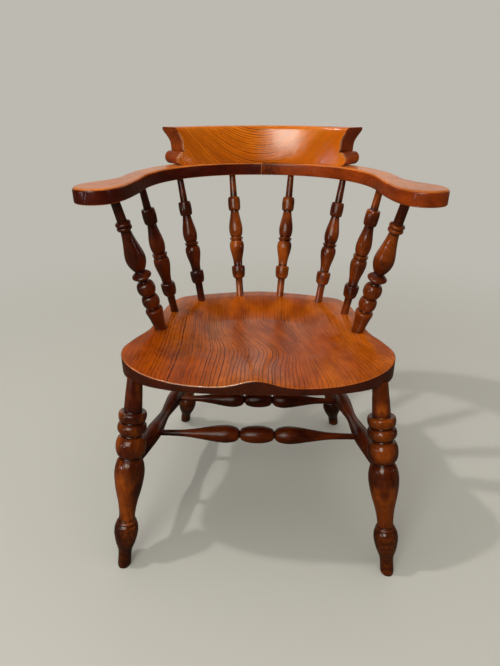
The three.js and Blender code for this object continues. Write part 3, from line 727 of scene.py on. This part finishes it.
def bow_grain(p, sign):
    """The growth lines run aslant through each plank, and the two arms come from different planks."""
    x, y = abs(p.x), p.y - cross_line
    across = x * math.cos(bow_grain_lean) + y * math.sin(bow_grain_lean) + 0.35 * p.z
    along = y * math.cos(bow_grain_lean) - x * math.sin(bow_grain_lean) + (5 if sign > 0 else 0)
    return (across, along, p.z)


def make_arm(side, sign, finish):
    line = arm_line()
    last = len(line) - 1
    inward = [Vector((0, 1))]
    for i in range(1, last):
        along = line[i + 1] - line[i - 1]
        inward.append(Vector((-along.y, along.x)).normalized())
    inward.append(Vector((0, -1)))
    rings = []
    for inset, height in rounded_edges():
        ring = []
        for point, normal in zip(line, inward):
            spot = point + normal * inset
            ring.append(Vector((sign * spot.x, spot.y + cross_line, bow_underside + height)))
        rings.append(ring)
    points, faces = skin(rings)
    grain = [bow_grain(p, sign) for p in points]
    wear_and_painted_light = np.zeros(len(points))
    if sign > 0:
        wear_and_painted_light[:] = [-joint_stain * (1 - eased((p.x - stain_start) / stain_fade)) for p in points]
    # The pale line at the joint is a painted highlight.
    for r in range(len(rings)):
        wear_and_painted_light[r * len(line)] = wear_and_painted_light[r * len(line) + last] = joint_painted_highlight
    made = dress("bow_arm_" + side, points, faces, grain, [finish], "arm_" + side, crease=30,
                 wear_and_painted_light=wear_and_painted_light)
    for face in made.data.polygons:
        if len(face.vertices) == len(line):
            face.use_smooth = False


# Each plank's upright faces take its edge colour: the left one is darker wood and also painted shade, as its
# inner face turns away from the lamps on the left, and the right one is lighter for the light it faces.
bow_looks = {
    "left": ((0.92, 0.26, 0.04), (0.7, 0.17, 0.016), (0.06, 0.005, 0.001)),
    "right": ((0.9, 0.25, 0.04), (0.68, 0.165, 0.016), (0.26, 0.038, 0.003)),
}
for (side, (pale, warm, edge_stain_and_shade)), sign in zip(bow_looks.items(), (-1, 1)):
    bow_wood = varnished_wood(
        "bow_beech_" + side, pale, warm, dark=(0.12, 0.02, 0.004), spacing=0.005, line_share=0.3,
        line_depth=0.3, wander=0.02, mottle=0.35, fibre=0.3, side_stain_and_shade=edge_stain_and_shade, roughness=0.28,
        coat=0.5, gloss=0.2, seed=7.0 + sign)
    make_arm(side, sign, bow_wood)

# Spindles
# Six slender spindles stand round the back and a heavier one carries each arm. They are turned from
# the same stained beech and glued into the seat and the bow. The left ones are coloured darker as
# painted shade, and the middle and right ones lighter as painted light.
spindle_radius = 0.0176
arm_spindle_radius = 0.020
spindle_sides = 48
arm_spindle_foot = (0.796, 0.01)
arm_spindle_head_out, arm_spindle_head_ahead = 0.032, 0.055
stretch_from = 0.25
shaded_left_until, lit_middle_until = -0.1, 0.1
collar_stains = [(0.2, 0.055, 0.5), (0.765, 0.07, 0.5)]
neck_stains = [(0.95, 0.14, 0.85), (0.3, 0.12, 0.3)]
back_places = {
    "middle": ((0.186, 0.87), 0.168, 0.36, 1.0),
    "quarter": ((0.533, 0.72), 0.53, 0.36, 1.0),
    "side": ((0.733, 0.395), 0.93, 0.26, 1.065),
}
spindle_profile = (
    [(-0.05, 0.495), (0.0, 0.495), (0.07, 0.485), (0.135, 0.49), (0.143, 0.51)]
    + swell([(0.145, 0.6), (0.15, 0.72), (0.162, 0.82), (0.185, 0.885), (0.215, 0.915), (0.236, 0.905),
             (0.246, 0.875), (0.2485, 0.85)], 22)
    + [(0.2495, 0.72), (0.2505, 0.63)]
    + swell([(0.252, 0.6), (0.29, 0.63), (0.33, 0.75), (0.37, 0.9), (0.405, 0.985), (0.43, 0.975),
             (0.45, 0.88), (0.459, 0.75)], 34)
    + [(0.4605, 0.7), (0.462, 0.7)]
    + bead(0.463, 0.4725, 0.78, 0.9, 6) + [(0.4735, 0.79)] + bead(0.4745, 0.486, 0.8, 0.94, 6)
    + [(0.4875, 0.7)]
    + swell([(0.489, 0.7), (0.505, 0.82), (0.53, 0.905), (0.56, 0.93), (0.6, 0.86), (0.65, 0.69),
             (0.69, 0.575), (0.704, 0.55)], 36)
    + [(0.7055, 0.6), (0.7065, 0.69)]
    + swell([(0.708, 0.72), (0.713, 0.765), (0.728, 0.81), (0.76, 0.835), (0.79, 0.825), (0.805, 0.79),
             (0.8125, 0.755)], 24)
    + [(0.8145, 0.73), (0.8155, 0.66), (0.8155, 0.53), (0.818, 0.47)]
)
spindle_head = [(0.9, 0.445), (1.0, 0.41), (1.05, 0.41)]
arm_spindle_profile = (
    [(-0.06, 0.66), (0.0, 0.66), (0.04, 0.69), (0.09, 0.78), (0.125, 0.87)]
    + swell([(0.125, 0.87), (0.142, 0.92), (0.155, 0.92), (0.164, 0.86), (0.168, 0.7)], 14)
    + [(0.171, 0.56), (0.1765, 0.53)]
    + bead(0.179, 0.284, 0.5, 0.913, 20) + [(0.286, 0.46)]
    + bead(0.288, 0.394, 0.5, 0.945, 22) + [(0.397, 0.45), (0.403, 0.43)]
    + swell([(0.407, 0.46), (0.418, 0.62), (0.43, 0.86), (0.4375, 0.965), (0.443, 0.985), (0.4485, 0.965),
             (0.458, 0.84), (0.471, 0.62), (0.478, 0.51)], 26)
    + [(0.481, 0.46), (0.484, 0.46)]
    + swell([(0.486, 0.52), (0.505, 0.7), (0.54, 0.91), (0.58, 1), (0.625, 0.93), (0.68, 0.75), (0.735, 0.59),
             (0.775, 0.51), (0.79, 0.485)], 46)
    + [(0.792, 0.48)] + bead(0.794, 0.82, 0.6, 0.74, 10) + [(0.8215, 0.57)]
    + bead(0.823, 0.849, 0.6, 0.745, 10) + [(0.851, 0.52)]
    + [(0.855, 0.47), (0.9, 0.46), (1.0, 0.44), (1.05, 0.44)]
)
# The same beech in three depths of colour by place: darker at the left for painted shade, lighter in the
# middle and at the right for painted light.
spindle_looks_by_light = {
    "dark": ((0.16, 0.022, 0.002), (0.055, 0.006, 0.001)),
    "warm": ((0.46, 0.095, 0.007), (0.13, 0.018, 0.001)),
    "rich": ((0.36, 0.065, 0.004), (0.11, 0.014, 0.001)),
}
spindle_woods_by_light = {
    shade: varnished_wood(
        "spindle_beech_painted_light_" + shade, pale, warm, dark=(0.04, 0.005, 0.001), spacing=0.003, line_share=0.3,
        line_depth=0.07, wander=0.015, mottle=0.7, fibre=0.55, wear_and_highlight_colour=(0.5, 0.14, 0.03),
        roughness=0.3, coat=1.0, gloss=0.08, coat_roughness=0.06, patch=(24.0, 9.0), seed=11.0)
    for shade, (pale, warm) in spindle_looks_by_light.items()
}


def seat_spot(share, sign):
    plan = seat_plan(*share)
    return Vector((sign * plan.x, plan.y + cross_line, seat_height))


def make_spindle(name, node, foot, head, shares, radius, pith, stains):
    length = (head - foot).length
    profile = [(along * length, across * radius) for along, across in shares]
    points, faces, grain, wear_and_painted_light = turned(profile, foot, head, spindle_sides, pith)

    def bands(share):
        return sum(amount * hump(share, at, width) for at, width, amount in stains)

    deepen(wear_and_painted_light, profile, length, spindle_sides, bands)
    # The colour is chosen by where the spindle stands, as painted light and shade.
    shade = "dark" if foot.x < shaded_left_until else "warm" if foot.x < lit_middle_until else "rich"
    dress(name, points, faces, grain, [spindle_woods_by_light[shade]], node, wear_and_painted_light=wear_and_painted_light)


for side, sign in (("left", -1), ("right", 1)):
    for number, (place, (share, turn, across, stretch)) in enumerate(back_places.items()):
        turning = [(stretch_from + (along - stretch_from) * stretch if along > stretch_from else along, wide)
                   for along, wide in spindle_profile]
        x, y = bow_point(turn, across)
        head = Vector((sign * x, y + cross_line, bow_underside))
        make_spindle(f"back_spindle_{place}_{side}", f"spindle_{place}_{side}", seat_spot(share, sign), head,
                     turning + spindle_head, spindle_radius, (0.03, 0.02 * sign, number + 4 * sign),
                     collar_stains)
    head = Vector((sign * (bow_inner_half_width + arm_spindle_head_out), cross_line - arm_spindle_head_ahead,
                   bow_underside))
    make_spindle(f"heavy_spindle_{side}", f"arm_spindle_{side}", seat_spot(arm_spindle_foot, sign), head,
                 arm_spindle_profile, arm_spindle_radius, (0.035, 0.02, 9 * sign), neck_stains)

# Crest rail
# One thick elm block sawn to a curve in plan. Its back is upright and its front curves back, so that
# it thins upward. Each end is sawn to a hollow over a small scroll, and screws hold it from below.
# Its face is coloured far brighter than the bow, partly paler wood and partly painted light for the
# light a face leaning further back would catch.
crest_height = 0.080
crest_thickness = 0.055
crest_front_radius = 0.295
crest_half_angle = math.radians(41.5)
crest_hollow = 0.0265
crest_front_cut, front_cut_start, front_cut_rise = 0.010, 0.034, 0.044
shoulder_cut, shoulder_height, shoulder_reach = 0.0055, 0.0235, 0.006
scroll_radius = 0.0142
scroll_inset = 0.0236
crest_setback = 0.002
crest_gap = 0.0003
half_columns = 56
end_steps = 6
rubbed_from, rubbed_until, rubbed_amount = 0.004, 0.07, 0.8
crest_edge_round = 0.0009
crest_middle = Vector((0, bow_inner_back + crest_setback - crest_front_radius + cross_line,
                       bow_underside + bow_thickness + crest_gap))
front_line = [(0, 0), (0, 0.14), (0.02, 0.36), (0.055, 0.6), (0.1, 0.82), (0.14, 0.93), (0.19, 0.98),
              (0.26, 1)]
back_line = [(1, 0), (1, 0.5), (1, 0.88), (0.98, 0.96), (0.92, 1)]
hollow_line = [(-0.2, 1), (-0.34, 0.9), (-0.58, 0.8), (-0.8, 0.7), (-0.95, 0.6), (-1.01, 0.5),
               (-1.03, 0.37), (-1.03, 0.35)]
height_shares = [
    0, 0.004, 0.012, 0.025, 0.045, 0.07, 0.1, 0.14, 0.1775, 0.215, 0.25, 0.28, 0.305, 0.325, 0.34, 0.349,
    0.3545, 0.3551, 0.36, 0.38, 0.41, 0.44, 0.48, 0.52, 0.56, 0.6, 0.64, 0.68, 0.72, 0.76, 0.8, 0.84,
    0.88, 0.91, 0.935, 0.955, 0.97, 0.985, 0.995, 1.0,
]


def at_height(line, height):
    """How far across a smooth line is at a height share."""
    dense = swell(line, 200)
    heights = [p[1] for p in dense]
    across = [p[0] for p in dense]
    if heights[0] > heights[-1]:
        heights, across = heights[::-1], across[::-1]
    return float(np.interp(height, heights, across))


def crest_end(height):
    """How far past the half angle the end stands at a height above the bow. Below zero is short of it."""
    hollow = crest_hollow * at_height(hollow_line, height / crest_height)
    if height >= 2 * scroll_radius:
        return hollow
    rise = (height - scroll_radius) / scroll_radius
    round_end = scroll_radius * math.sqrt(max(0.0, 1 - rise * rise)) - scroll_inset
    return max(round_end, hollow) if height > scroll_radius else round_end


def front_cut(height, depth):
    """The saw leaned a little, so the tip's front corner is cut further back than its back corner, and
    the scroll's shoulder is rounded into the hollow at the front."""
    ahead = 1 - min(1.0, max(0.0, depth / crest_thickness - 0.2) / 0.8)
    rise = eased((height - front_cut_start) / front_cut_rise)
    shoulder = (1 - eased(depth / (0.5 * crest_thickness))) * hump(height, shoulder_height, shoulder_reach)
    return crest_front_cut * ahead * rise + shoulder_cut * shoulder


def make_crest():
    heights = [crest_height * share for share in height_shares]
    front = [(at_height(front_line, h / crest_height) * crest_thickness, h) for h in heights]
    back = [(at_height(back_line, h / crest_height) * crest_thickness, h) for h in heights]
    section = front + back[::-1]
    half_shares = [math.sin(math.pi / 2 * (k / half_columns) ** 0.9) ** 1.05 * 0.985
                   for k in range(half_columns + 1)]
    half_shares += [0.9925, 0.997, 1.0]
    shares = [-share for share in reversed(half_shares[1:])] + half_shares
    columns = len(shares) - 1
    count = len(section)
    points, grain = [], []
    for share in shares:
        for depth, height in section:
            radius = crest_front_radius + depth
            limit = crest_half_angle + math.asin((crest_end(height) - front_cut(height, depth)) / radius)
            angle = share * limit
            points.append(crest_middle + Vector((radius * math.sin(angle), radius * math.cos(angle), height)))
            arc = crest_front_radius * angle
            grain.append((height - 3.8 * arc * arc + 0.35 * depth, arc, depth))
    faces = []
    for r in range(columns):
        for i in range(count):
            j = (i + 1) % count
            faces.append((r * count + i, r * count + j, (r + 1) * count + j, (r + 1) * count + i))
    faces_before_ends = len(faces)
    for r in (0, columns):
        grid = []
        for k in range(len(heights)):
            a, b = r * count + k, r * count + count - 1 - k
            row = [a]
            for step in range(1, end_steps):
                points.append(points[a].lerp(points[b], step / end_steps))
                first, second = np.array(grain[a]), np.array(grain[b])
                grain.append(tuple(first + (second - first) * step / end_steps))
                row.append(len(points) - 1)
            grid.append(row + [b])
        for low, high in zip(grid, grid[1:]):
            faces += [(low[i], low[i + 1], high[i + 1], high[i]) for i in range(end_steps)]
    wear_and_painted_light = np.zeros(len(points))
    for r in (0, 1, columns - 1, columns):
        for k, height in enumerate(heights):
            if rubbed_from < height < rubbed_until:
                wear_and_painted_light[r * count + k] = rubbed_amount
    figure = [1.0 - 0.65 * eased(p.x / 0.06) for p in points]
    # The bright face colour is partly paler wood and partly painted light.
    crest_wood_painted_bright = varnished_wood(
        "crest_elm", pale=(1.0, 0.24, 0.004), warm=(0.84, 0.165, 0.002), dark=(0.2, 0.028, 0.002),
        spacing=0.0055, line_share=0.28, line_depth=1.0, wander=0.012, mottle=0.25, fibre=0.3,
        roughness=0.24, coat=1.0, coat_roughness=0.1, coat_bend=1.75, gloss=0.1, seed=17.0)
    end_wood = varnished_wood(
        "crest_elm_ends", pale=(0.54, 0.1, 0.006), warm=(0.28, 0.036, 0.003), dark=(0.08, 0.01, 0.001),
        spacing=0.004, line_share=0.3, line_depth=0.5, mottle=0.5, roughness=0.3, seed=19.0)
    made = dress("crest_block", points, faces, grain, [crest_wood_painted_bright, end_wood], "crest_rail",
                 wear_and_painted_light=wear_and_painted_light, figure=figure)
    for face in list(made.data.polygons)[faces_before_ends:]:
        face.material_index = 1
    ease = made.modifiers.new("eased_edges", "BEVEL")
    ease.width = crest_edge_round
    ease.segments = 3
    ease.limit_method = "ANGLE"
    ease.angle_limit = math.radians(40)
    ease.harden_normals = False


make_crest()

# Screws
# Four steel screws hold the crest, with their heads sunk in the underside of the bow. They keep their
# plain solids, which have no slots, and only take a tarnished finish.
screw_tarnish = (0.16, 0.13, 0.1, 1)
screw_bright = (0.5, 0.48, 0.45, 1)
screw_steel = bpy.data.materials.new("screw_steel")
screw_steel.use_nodes = True
steel_tree = screw_steel.node_tree
steel = steel_tree.nodes["Principled BSDF"]
steel.inputs["Metallic"].default_value = 1.0
tarnish = add_node(steel_tree, "TexNoise", Scale=900.0, Detail=4.0,
                   Vector=add_node(steel_tree, "TexCoord").outputs["Object"])
steel_ramp = add_node(steel_tree, "ValToRGB", Fac=tarnish.outputs["Fac"])
steel_ramp.color_ramp.elements[0].color = screw_tarnish
steel_ramp.color_ramp.elements[1].color = screw_bright
steel_tree.links.new(steel_ramp.outputs["Color"], steel.inputs["Base Color"])
steel.inputs["Roughness"].default_value = 0.45
for place in ("inner", "outer"):
    for side in ("left", "right"):
        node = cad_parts[f"crest_screw_{place}_{side}"]
        node.material_slots[0].material = screw_steel
